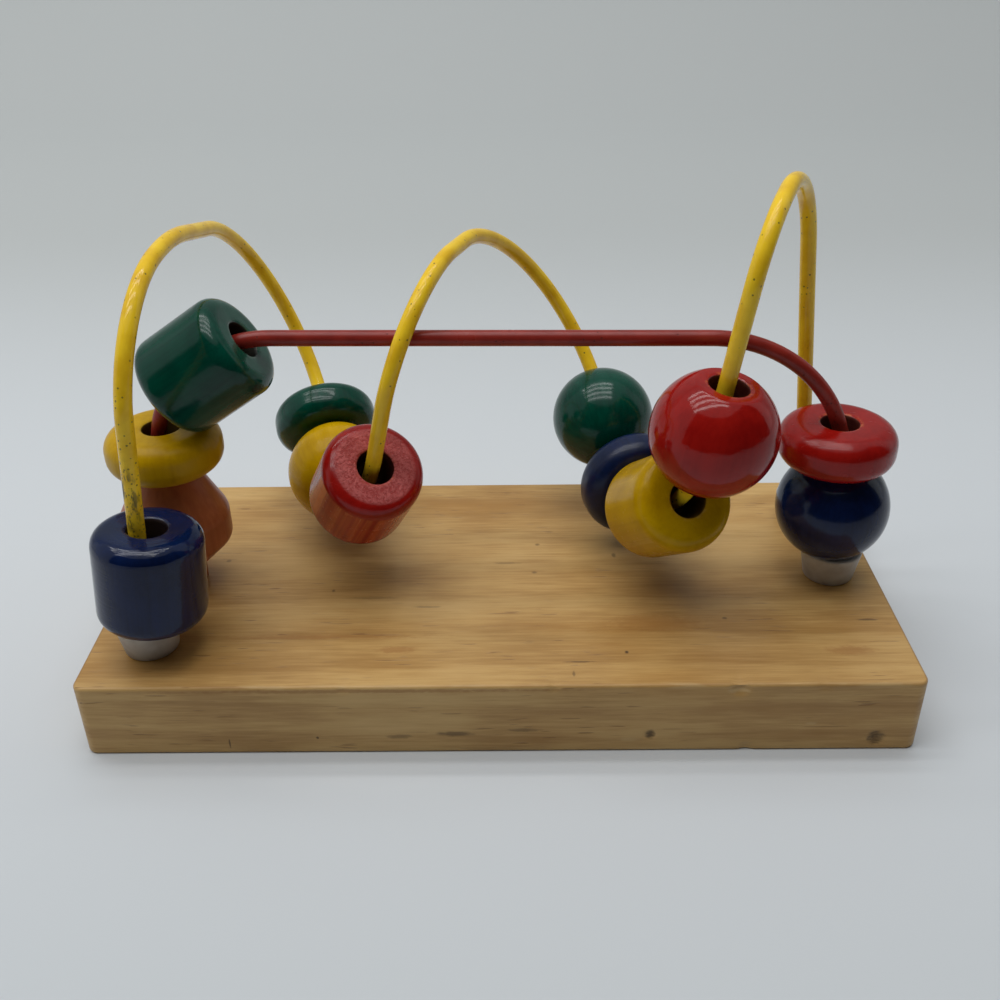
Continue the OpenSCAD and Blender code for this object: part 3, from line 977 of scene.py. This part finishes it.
@dataclass
class RoundedBead(Bead):
    """A disc or barrel with flat ends and rounded edges."""

    diameter: float = 24.2
    thickness: float = 23.0
    edge: float = 3.6
    edge_steps: int = 8

    def length(self) -> float:
        """Gives the bead's length along its hole."""
        return self.thickness

    def flat_radius(self) -> float:
        """Gives the radius of the flat end, inside the rounded edge."""
        return self.diameter / 2 - self.edge

    def outline(self) -> list[Corner]:
        """Gives the two rounded outer corners."""
        half = self.thickness / 2
        return [Corner(self.diameter / 2, z, self.edge, self.edge_steps) for z in (half, -half)]


@dataclass
class DoubleConeBead(Bead):
    """Two cones on a straight band, the lower one short and on a narrow neck."""

    diameter: float = 26.2
    height: float = 31.4
    band: float = 7.0
    end_diameter: float = 13.6
    lower_cone: float = 7.6
    neck_diameter: float = 11.0
    end_ease: float = 0.5
    band_ease: float = 0.9
    neck_ease: float = 0.6
    foot_ease: float = 0.3

    def length(self) -> float:
        """Gives the bead's length along its hole."""
        return self.height

    def flat_radius(self) -> float:
        """Gives the radius of the flat end."""
        return self.end_diameter / 2

    def outline(self) -> list[Corner]:
        """Gives the two cones, the band and the neck, with softened corners.

        Returns:
            The corners, from the top to the foot.
        """
        half, band = self.height / 2, self.band / 2
        end, wide, neck = self.end_diameter / 2, self.diameter / 2, self.neck_diameter / 2
        return [
            Corner(end, half, self.end_ease, 3),
            Corner(wide, band, self.band_ease),
            Corner(wide, -band, self.band_ease),
            Corner(neck, -band - self.lower_cone, self.neck_ease, 3),
            Corner(neck, -half, self.foot_ease, 2),
        ]


@dataclass(frozen=True)
class Run:
    """Straight piece of a wire: where it goes to from where the wire has come."""

    travel: Vector


@dataclass(frozen=True)
class Bend:
    """Bent piece of a wire: the middle and axis that it turns about, and its turn."""

    centre: Vector
    axis: Vector
    turn: float


@dataclass
class Wire:
    """A painted wire that runs through corners, each rounded by its own radius."""

    name: str
    slot: str
    diameter: float
    corners: list[Point]
    radii: list[float]
    paint: WirePaint
    sides: int = 20
    bend_step: float = math.radians(3)

    def pieces(self) -> list[Run | Bend]:
        """Works out the wire's straight and bent pieces.

        Returns:
            The pieces, in order along the wire.
        """
        corners = [metres(c) for c in self.corners]
        spans = [b - a for a, b in zip(corners, corners[1:])]
        ways = [span.normalized() for span in spans]
        turns = [0.0, *(a.angle(b) for a, b in zip(ways, ways[1:])), 0.0]
        wish = [r * MM * math.tan(t / 2) for r, t in zip(self.radii, turns)]
        room = [min(1.0, s.length / max(wish[i] + wish[i + 1], 1e-9)) for i, s in enumerate(spans)]
        fit = [0.0, *(min(room[i - 1], room[i]) for i in range(1, len(spans))), 0.0]
        reach = [w * f for w, f in zip(wish, fit)]
        made: list[Run | Bend] = []
        for i, way in enumerate(ways):
            made.append(Run(way * (spans[i].length - reach[i] - reach[i + 1])))
            if i + 1 < len(ways):
                axis = way.cross(ways[i + 1]).normalized()
                radius = self.radii[i + 1] * MM * fit[i + 1]
                centre = corners[i + 1] - way * reach[i + 1] + axis.cross(way) * radius
                made.append(Bend(centre, axis, turns[i + 1]))
        return made

    def build(self) -> bpy.types.Object:
        """Draws the wire as one smooth tube and lets it stand for its solid.

        Returns:
            The wire.
        """
        bm = bmesh.new()
        start = Matrix.Translation(metres(self.corners[0]))
        ring = bmesh.ops.create_circle(
            bm, cap_ends=True, segments=self.sides, radius=self.diameter / 2 * MM, matrix=start)["verts"]
        edges = list({edge for vert in ring for edge in vert.link_edges})
        for piece in self.pieces():
            if isinstance(piece, Run):
                edges = pulled(bm, edges, piece.travel)
            else:
                steps = math.ceil(piece.turn / self.bend_step)
                edges = swung(bm, edges, piece.centre, piece.axis, piece.turn, steps)
        bmesh.ops.contextual_create(bm, geom=edges)
        made = object_from(bm, self.name + "_tube", self.paint.material())
        even_shading(made)
        stand_for(made, self.name, BOARD_BODY)
        return made


@dataclass
class FootCap:
    """A tapered plastic collar where a wire enters the board."""

    name: str
    foot: Pair
    hole: float
    plastic: FrostedPlastic
    height: float = CAP_HEIGHT
    top_diameter: float = 15.0
    bottom_diameter: float = 12.0
    hole_ease: float = 0.25
    top_ease: float = 0.7
    bottom_ease: float = 0.5
    step: float = 1.0
    sides: int = 64

    def build(self) -> bpy.types.Object:
        """Turns the cap on its foot and lets it stand for its solid.

        Returns:
            The cap.
        """
        top, bottom, hole = self.top_diameter / 2, self.bottom_diameter / 2, self.hole / 2
        section = [
            Corner(hole, self.height, self.hole_ease, 2),
            Corner(top, self.height, self.top_ease),
            Corner(bottom, 0.0, self.bottom_ease, 3),
            Corner(hole, 0.0),
        ]
        bm = bmesh.new()
        turned_section(bm, section, self.step, self.sides)
        bmesh.ops.translate(bm, vec=metres((*self.foot, BOARD_TOP)), verts=bm.verts)
        made = object_from(bm, self.name + "_collar", self.plastic.material())
        even_shading(made)
        stand_for(made, self.name, BOARD_BODY)
        return made


@dataclass
class Board:
    """The pine board, drilled for the wires' ends and knocked about by use."""

    length: float = 2 * HALF_LENGTH
    width: float = 2 * HALF_WIDTH
    height: float = BOARD_TOP
    corner: float = 2.5
    corner_steps: int = 8
    ease: float = 0.7
    ease_steps: int = 4
    socket_depth: float = SOCKET_DEPTH
    socket_sides: int = 32
    grid: float = 4.0
    fine_grid: float = 0.7
    sockets: list[Point] = field(default_factory=list)
    marks: list[Mark] = field(default_factory=list)
    dents: list[Dent] = field(default_factory=list)
    finish: PineFinish = field(default_factory=PineFinish)

    def build(self) -> bpy.types.Object:
        """Planes, drills and dents the board and lets it stand for its solid.

        Returns:
            The board.
        """
        half = (self.length / 2, self.width / 2, self.height)
        bm = bmesh.new()
        middle = Matrix.Translation(metres((0, 0, self.height / 2)))
        size = Matrix.Diagonal((*metres((self.length, self.width, self.height)), 1.0))
        bmesh.ops.create_cube(bm, size=1.0, matrix=middle @ size)
        upright = [e for e in bm.edges if abs(e.verts[0].co.z - e.verts[1].co.z) > self.height / 2 * MM]
        self.round_edges(bm, upright, self.corner, self.corner_steps)
        flat = [f for f in bm.faces if abs(f.normal.z) > 0.9]
        self.round_edges(bm, list({e for f in flat for e in f.edges}), self.ease, self.ease_steps)
        self.cut_grid(bm)
        for dent in self.dents:
            self.press(bm, dent)
        made = object_from(bm, "pine_board", self.finish.material(self.marks, half))
        self.drill(made)
        even_shading(made)
        stand_for(made, "base", BOARD_BODY)
        return made

    @staticmethod
    def round_edges(bm: Shape, edges: list[Edge], radius: float, segments: int) -> None:
        """Rounds edges.

        Args:
            bm: the board.
            edges: the edges to round.
            radius: their radius, in millimetres.
            segments: faces across each rounding.
        """
        bmesh.ops.bevel(
            bm, geom=edges, offset=radius * MM, segments=segments, profile=0.5, affect="EDGES", material=-1)
        bm.normal_update()

    def cut_grid(self, bm: Shape) -> None:
        """Cuts the faces into cells that are fine enough for the dents.

        Args:
            bm: the board.
        """
        half_l, half_w = self.length / 2, self.width / 2
        xs = {round(-half_l + self.grid * k, 3) for k in range(1, int(self.length / self.grid))}
        ys = {round(-half_w + self.grid * k, 3) for k in range(1, int(self.width / self.grid))}
        zs = {round(self.grid * k, 3) for k in range(1, int(self.height / self.grid) + 1)}
        for dent in self.dents:
            cells = math.ceil(dent.width / self.fine_grid)
            for k in range(-cells, cells + 1):
                xs.add(round(dent.place[0] + k * self.fine_grid, 3))
                zs.add(round(dent.place[2] + k * self.fine_grid, 3))
        for places, axis, limit in ((xs, (1, 0, 0), half_l), (ys, (0, 1, 0), half_w)):
            for place in sorted(p for p in places if abs(p) < limit - self.corner):
                self.cut(bm, place, axis)
        for place in sorted(z for z in zs if self.ease < z < self.height - self.ease):
            self.cut(bm, place, (0, 0, 1))

    @staticmethod
    def cut(bm: Shape, place: float, axis: Point) -> None:
        """Cuts all faces along one plane, so far along its axis in millimetres."""
        whole = bm.verts[:] + bm.edges[:] + bm.faces[:]
        bmesh.ops.bisect_plane(bm, geom=whole, plane_co=Vector(axis) * place * MM, plane_no=axis)

    @staticmethod
    def press(bm: Shape, dent: Dent) -> None:
        """Presses a dent into the board.

        Args:
            bm: the board.
            dent: the dent.
        """
        bm.normal_update()
        middle = metres(dent.place)
        for vert in bm.verts:
            near = 1 - ((vert.co - middle).length / (dent.width * MM)) ** 2
            if near > 0:
                vert.co -= vert.normal * dent.depth * MM * near * near

    def drill(self, board: bpy.types.Object) -> None:
        """Drills the blind holes for the wires' ends.

        Args:
            board: the board, whose mesh is replaced by the drilled one.
        """
        bm = bmesh.new()
        depth = self.socket_depth + self.ease
        for x, y, diameter in self.sockets:
            middle = metres((x, y, self.height - self.socket_depth + depth / 2))
            bmesh.ops.create_cone(
                bm, cap_ends=True, segments=self.socket_sides, radius1=diameter / 2 * MM,
                radius2=diameter / 2 * MM, depth=depth * MM, matrix=Matrix.Translation(middle))
        drill_bits = object_from(bm, "drill_bits", board.data.materials[0])
        cut = board.modifiers.new("drilled", "BOOLEAN")
        cut.operation, cut.object, cut.solver = "DIFFERENCE", drill_bits, "EXACT"
        drilled = bpy.data.meshes.new_from_object(
            board.evaluated_get(bpy.context.evaluated_depsgraph_get()))
        board.modifiers.clear()
        board.data = drilled
        bpy.data.objects.remove(drill_bits)


@dataclass
class Studio:
    """Pale sweep, a ceiling light of four tubes, a dark card behind the camera, and the camera."""

    floor_colour: Colour = (196, 202, 205)
    # Painted light and shade on the sweep: the floor lighter just behind the board, darker further back and
    # up the backdrop.
    far_floor_painted_light: Colour = (206, 211, 215)
    wall_painted_shade: Colour = (182, 186, 186)
    top_painted_shade: Colour = (178, 184, 184)
    sweep_front: float = -430.0
    sweep_back: float = 620.0
    sweep_bend: float = 420.0
    sweep_top: float = 1500.0
    sweep_width: float = 4200.0
    sweep_steps: int = 24
    sweep_rough: float = 0.75
    floor_fade: Pair = (-200.0, 0.0)
    wall_fade: Pair = (50.0, 380.0)
    top_fade: Pair = (0.0, 300.0)
    tube_power: float = 4.25
    tube_middle: Point = (-340.0, 80.0, 1500.0)
    tube_size: Pair = (1600.0, 120.0)
    tube_gap: float = 320.0
    tubes: int = 4
    fill: float = 0.56
    card_radius: float = 900.0
    card_reach: Pair = (-500.0, 1250.0)
    card_turns: Pair = (-62.0, 95.0)
    card_steps: int = 48
    card_colour: Colour = (24, 24, 26)
    card_rough: float = 0.9
    backdrop: Colour = (190, 196, 198)
    camera_place: Point = (2.41, -228.27, 174.71)
    camera_yaw: float = -0.53
    camera_pitch: float = 30.556
    camera_roll: float = -0.744
    camera_focus: float = 1089.6
    camera_sensor: float = 36.0
    camera_clip: Pair = (0.01, 20.0)
    picture: float = 1000.0

    def build(self) -> None:
        """Sets up the stage, the light and the camera."""
        bpy.context.scene.view_settings.view_transform = "Standard"
        self.sweep()
        self.dark_card()
        self.ceiling_light()
        self.surround()
        self.camera()

    def sweep(self) -> None:
        """Makes a pale floor that curves up into a backdrop, with painted light just behind the board and
        painted shade further back and up the backdrop.
        """
        bm = bmesh.new()
        half = self.sweep_width / 2
        verts = [bm.verts.new(metres((x, self.sweep_front, 0))) for x in (-half, half)]
        edges = pulled(bm, [bm.edges.new(verts)], metres((0, self.sweep_back - self.sweep_front, 0)))
        centre = metres((0, self.sweep_back, self.sweep_bend))
        edges = swung(bm, edges, centre, Vector((1, 0, 0)), math.pi / 2, self.sweep_steps)
        pulled(bm, edges, metres((0, 0, self.sweep_top - self.sweep_bend)))
        graph = ShaderGraph("pale_sweep")
        _, y, z = graph.split(graph.object_point())
        colour = linear(self.floor_colour)
        # Painted light on the floor behind the board, painted shade further back and towards the top.
        for value, limits, tone in (
                (y, self.floor_fade, self.far_floor_painted_light), (y, self.wall_fade, self.wall_painted_shade),
                (z, self.top_fade, self.top_painted_shade)):
            colour = graph.mix(graph.fade(value, *(limit * MM for limit in limits)), colour, linear(tone))
        graph.set(Base_Color=colour, Roughness=self.sweep_rough)
        object_from(bm, "sweep", graph.material)

    def dark_card(self) -> None:
        """Stands a dark curved card round the camera, as a dim room would be, unseen by the camera."""
        left, right = (math.radians(turn) for turn in self.card_turns)
        bm = bmesh.new()
        turn = Matrix.Rotation(left, 3, "Z")
        verts = [bm.verts.new(turn @ metres((0, -self.card_radius, z))) for z in self.card_reach]
        edges = [bm.edges.new(verts)]
        swung(bm, edges, Vector((0, 0, 0)), Vector((0, 0, 1)), right - left, self.card_steps)
        graph = ShaderGraph("dark_card")
        graph.set(Base_Color=linear(self.card_colour), Roughness=self.card_rough)
        card = object_from(bm, "dark_card", graph.material)
        card.visible_camera = False

    def ceiling_light(self) -> None:
        """Hangs the tubes over the board."""
        for k in range(self.tubes):
            lamp = bpy.data.lights.new(f"tube_{k}", "AREA")
            lamp.shape = "RECTANGLE"
            lamp.size, lamp.size_y = (s * MM for s in self.tube_size)
            lamp.energy = self.tube_power
            tube = bpy.data.objects.new(f"tube_{k}", lamp)
            x, y, z = self.tube_middle
            tube.location = metres((x, y + (k - (self.tubes - 1) / 2) * self.tube_gap, z))
            bpy.context.scene.collection.objects.link(tube)

    def surround(self) -> None:
        """Fills the room with even light, and shows it as pale to the camera and in reflections."""
        world = bpy.data.worlds.new("surround")
        bpy.context.scene.world = world
        world.use_nodes = True
        tree = world.node_tree
        base = tree.nodes["Background"]
        base.inputs["Color"].default_value = (1.0, 1.0, 1.0, 1.0)
        base.inputs["Strength"].default_value = self.fill
        shown = tree.nodes.new("ShaderNodeBackground")
        shown.inputs["Color"].default_value = linear(self.backdrop)
        path = tree.nodes.new("ShaderNodeLightPath")
        seen = path.outputs["Is Camera Ray"]
        for other in ("Is Glossy Ray", "Is Transmission Ray"):
            both = tree.nodes.new("ShaderNodeMath")
            both.operation = "MAXIMUM"
            tree.links.new(seen, both.inputs[0])
            tree.links.new(path.outputs[other], both.inputs[1])
            seen = both.outputs[0]
        mixed = tree.nodes.new("ShaderNodeMixShader")
        tree.links.new(seen, mixed.inputs[0])
        tree.links.new(base.outputs[0], mixed.inputs[1])
        tree.links.new(shown.outputs[0], mixed.inputs[2])
        tree.links.new(mixed.outputs[0], tree.nodes["World Output"].inputs["Surface"])

    def camera(self) -> None:
        """Places the camera where the picture was taken from."""
        yaw, pitch, roll = (math.radians(a) for a in (self.camera_yaw, self.camera_pitch, self.camera_roll))
        ahead = Vector((math.sin(yaw) * math.cos(pitch), math.cos(yaw) * math.cos(pitch), -math.sin(pitch)))
        level = Vector((math.cos(yaw), -math.sin(yaw), 0.0))
        upright = level.cross(ahead)
        right = math.cos(roll) * level + math.sin(roll) * upright
        up = math.cos(roll) * upright - math.sin(roll) * level
        data = bpy.data.cameras.new("camera")
        data.sensor_width = self.camera_sensor
        data.lens = self.camera_focus / self.picture * data.sensor_width
        data.clip_start, data.clip_end = self.camera_clip
        made = bpy.data.objects.new("camera", data)
        turn = Matrix((right, up, -ahead)).transposed().to_4x4()
        made.matrix_world = Matrix.Translation(metres(self.camera_place)) @ turn
        bpy.context.scene.collection.objects.link(made)
        bpy.context.scene.camera = made


BLUE = Lacquer("blue_lacquer", (11, 28, 68), (7, 19, 50), (84, 74, 70))
GREEN = Lacquer("green_lacquer", (1, 70, 54), (0, 53, 41), (84, 96, 66))
RED = Lacquer("red_lacquer", (156, 22, 15), (136, 14, 10), (230, 132, 70))
# Its wood colour also serves as the painted reflection of the board on the yellow barrel's lower side.
YELLOW = Lacquer("yellow_lacquer", (200, 158, 4), (180, 138, 2), (206, 172, 80), 0.14)
ORANGE = Lacquer("orange_lacquer", (180, 104, 62), (158, 86, 48), (196, 138, 86))

RED_LINE = -0.04 * HALF_WIDTH

YELLOW_PAINT = WirePaint(
    "yellow_wire_enamel", (252, 210, 44), (236, 188, 33), (64, 62, 18), 0.06,
    Rub((-78.0, -31.0, 52.0), (10.0, 10.0, 44.0)), Rub((-78.3, -31.0, 60.0), (4.0, 4.0, 12.0)))
RED_PAINT = WirePaint(
    "red_wire_enamel", (148, 46, 36), (130, 38, 30), (84, 32, 24), 0.24,
    Rub((80.0, RED_LINE, 66.0), (12.0, 6.0, 14.0)), Rub((80.0, RED_LINE, 66.0), (2.0, 2.0, 4.0)))

YELLOW_FRONT = -29.18
YELLOW_FEET = ((-0.85 * HALF_LENGTH, YELLOW_FRONT), (0.863 * HALF_LENGTH, 0.555 * HALF_WIDTH))
RED_FEET = ((-0.854 * HALF_LENGTH, RED_LINE), (0.874 * HALF_LENGTH, RED_LINE))

LOOP_FLOOR = 34.6
LOOP_HEIGHT = 80.0
LOOP_RADIUS = 28.0
FOOT_RADIUS = 20.0

# Corners of the yellow wire, as the part's source gives them: shares of the half length, the half width and
# the loops' height, and the radius of each bend as a share of the loops' radius. The last corner is a little
# lower than in the source, so that the round wire stays under the top of its solid.
YELLOW_CORNER_SHARES = (
    (-0.7822, -0.6809, 0.8173),
    (-0.7584, 0.1151, 0.8705),
    (-0.693, 2.3272, 0.5876),
    (-0.385, -0.02, -0.178),
    (-0.204, -0.315, 0.795),
    (0.165, 2.3, 0.733),
    (0.403, -0.413, -0.322),
    (0.567, -0.443, 0.969),
    (0.731, 0.339, 1.0725),
)
YELLOW_RADIUS_SHARES = (0.992, 2.065, 1.141, 1.0, 0.97, 1.19, 1.165, 0.6, 0.76)


def wires() -> list[Wire]:
    """Gives the two wires, along corners like those that the part's source gives them.

    Returns:
        The yellow wire and the red one.
    """
    yellow_turns = [
        (x * HALF_LENGTH, y * HALF_WIDTH, LOOP_FLOOR + z * LOOP_HEIGHT) for x, y, z in YELLOW_CORNER_SHARES]
    yellow_radii = [share * LOOP_RADIUS for share in YELLOW_RADIUS_SHARES]
    red_turns = [(-0.8385 * HALF_LENGTH, RED_LINE, 83.485), (0.853 * HALF_LENGTH, RED_LINE, 81.951)]
    made = []
    for name, paint, diameter, feet, turns, radii in (
            ("yellow_wire", YELLOW_PAINT, 3.74, YELLOW_FEET, yellow_turns, yellow_radii),
            ("red_wire", RED_PAINT, 3.64, RED_FEET, red_turns, [29.0, 34.0])):
        (left_end, left), (right_end, right) = (
            [(*foot, BOARD_TOP + rise) for rise in (-SOCKET_DEPTH, CAP_HEIGHT)] for foot in feet)
        corners = [left_end, left, *turns, right, right_end]
        bends = [0.0, FOOT_RADIUS, *radii, FOOT_RADIUS, 0.0]
        made.append(Wire(name, name + "_paint", diameter, corners, bends, paint))
    return made


def beads() -> list[Bead]:
    """Gives the thirteen beads with their sizes and finishes.

    Returns:
        The beads.
    """
    disc = {"diameter": 27.2, "thickness": 10.6, "edge": 4.4}
    thin_red = (((-1.0, 0.1, 0.1), 0.95), ((0.7, -0.2, -0.7), 0.4), ((-0.2, -0.5, -1.0), 0.45))
    # Painted reflection of the board on the yellow barrel's lower side, with thin paint there too.
    yellow_reflection_and_streaks = (((-0.4, -0.2, -1.0), 0.35),)
    return [
        RoundedBead("blue_barrel", BLUE, rough=0.05, turned=9.0),
        DoubleConeBead("orange_cone", ORANGE, rough=0.3),
        RoundedBead("yellow_disc", YELLOW, rough=0.28, **disc),
        RoundedBead("green_barrel", GREEN),
        RoundedBead("green_disc", GREEN, shift=(-0.04, 0.02, 0.15), tip=(0.006, 0.012, -0.017), **disc),
        BallBead("yellow_ball", YELLOW, diameter=26.2, rough=0.2),
        RoundedBead("red_barrel", RED, rough=0.16, pale_and_reflecting_sides=thin_red, ends=EndFace.ROUGH),
        BallBead("green_ball", GREEN, diameter=26.6),
        RoundedBead("blue_disc", BLUE, rough=0.26, **disc),
        RoundedBead("yellow_barrel", YELLOW, rough=0.18, pale_and_reflecting_sides=yellow_reflection_and_streaks),
        BallBead("red_ball", RED, diameter=28.2, rough=0.07),
        RoundedBead("red_disc", RED, rough=0.16, **disc),
        BallBead("blue_ball", BLUE, diameter=26.8),
    ]


def board() -> Board:
    """Gives the board with the marks and dents that use has left on it, and with painted shade among the
    marks.

    Returns:
        The board.
    """
    top, front = BOARD_TOP, -HALF_WIDTH
    marks = [
        Mark((28.9, -32.9, top), (0.7, 0.8, 1.0), 0.9),
        Mark((18.0, -36.2, top), (5.0, 0.45, 1.0), 0.6),
        Mark((16.5, -40.3, top), (0.5, 1.4, 1.0), 0.5),
        Mark((29.4, 7.0, top), (0.8, 1.6, 1.0), 0.55),
        Mark((9.8, 12.3, top), (1.0, 0.9, 1.0), 0.5),
        Mark((8.7, -0.6, top), (1.0, 0.8, 1.0), 0.5),
        Mark((1.7, 3.7, top), (5.0, 0.7, 1.0), 0.35),
        Mark((53.3, -20.3, top), (0.9, 0.7, 1.0), 0.55),
        Mark((86.6, -21.4, top), (3.6, 0.6, 1.0), 0.5),
        Mark((-41.0, -8.0, top), (0.7, 0.9, 1.0), 0.6),
        Mark((-31.3, -11.1, top), (9.0, 0.9, 1.0), 0.3),
        Mark((-17.6, -15.0, top), (5.0, 0.6, 1.0), 0.35),
        Mark((-69.9, 5.7, top), (1.0, 0.8, 1.0), 0.45),
        Mark((84.4, front, 3.5), (2.9, 1.5, 2.8), 0.8),
        Mark((33.7, front, 4.8), (1.7, 1.5, 1.9), 0.8),
        Mark((5.4, front, 6.4), (5.4, 1.0, 0.8), 0.42),
        Mark((-41.0, front, 4.5), (0.5, 1.0, 0.6), 0.8),
        Mark((-10.3, front, 5.4), (6.4, 1.0, 1.0), 0.6),
        Mark((-22.7, front, 4.7), (4.0, 1.0, 0.9), 0.45),
        Mark((-61.0, front, 3.0), (0.3, 1.0, 2.2), 0.7),
        Mark((52.7, front, 17.2), (3.6, 1.5, 1.0), 0.6, MarkKind.SCUFF),
        Mark((69.4, front, 7.8), (2.0, 1.0, 0.7), 0.35, MarkKind.SCUFF),
        Mark((29.0, front, 3.4), (3.4, 1.0, 0.8), 0.3, MarkKind.SCUFF),
        # Darker patches of the top: partly painted shade, partly the wood's own tone.
        Mark((-23.6, -31.5, top), (6.5, 1.8, 1.0), 0.45, MarkKind.WARM),
        Mark((79.5, -32.7, top), (8.0, 2.4, 1.0), 0.4, MarkKind.WARM),
        Mark((-42.0, -26.5, top), (36.0, 1.3, 1.0), 0.35, MarkKind.WARM),
        # Painted shade: a dark brown line along the front face just under the top edge.
        Mark((-30.0, front, 17.9), (64.0, 1.0, 0.7), 0.5, MarkKind.WARM),
        # Another darker patch of the top: partly painted shade, partly the wood's own tone.
        Mark((36.0, -22.0, top), (16.0, 5.0, 1.0), 0.3, MarkKind.WARM),
    ]
    dents = [
        Dent((84.4, front, 3.5), 2.4, 0.7),
        Dent((33.7, front, 4.8), 1.7, 0.45),
        Dent((52.7, front, 18.0), 2.9, 0.8),
        Dent((55.4, front, 0.8), 2.0, 0.4),
        Dent((12.0, front, 18.6), 1.8, 0.35),
        Dent((-34.0, front, 18.6), 2.2, 0.3),
        Dent((71.0, front, 18.6), 2.0, 0.3),
    ]
    sockets = [(*foot, 4.0) for foot in YELLOW_FEET] + [(*foot, 3.9) for foot in RED_FEET]
    return Board(sockets=sockets, marks=marks, dents=dents)


def main() -> None:
    """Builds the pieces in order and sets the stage."""
    logging.basicConfig(level=logging.INFO, format="%(message)s")
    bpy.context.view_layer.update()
    Studio().build()
    board().build()
    for wire in wires():
        wire.build()
    for name, foot, hole, top in (
            ("yellow_left_cap", YELLOW_FEET[0], 4.2, 15.0), ("yellow_right_cap", YELLOW_FEET[1], 4.2, 13.6),
            ("red_right_cap", RED_FEET[1], 4.1, 15.0)):
        FootCap(name, foot, hole, FrostedPlastic(name + "_plastic"), top_diameter=top).build()
    for bead in beads():
        bead.build()


if __name__ == "__main__":
    main()
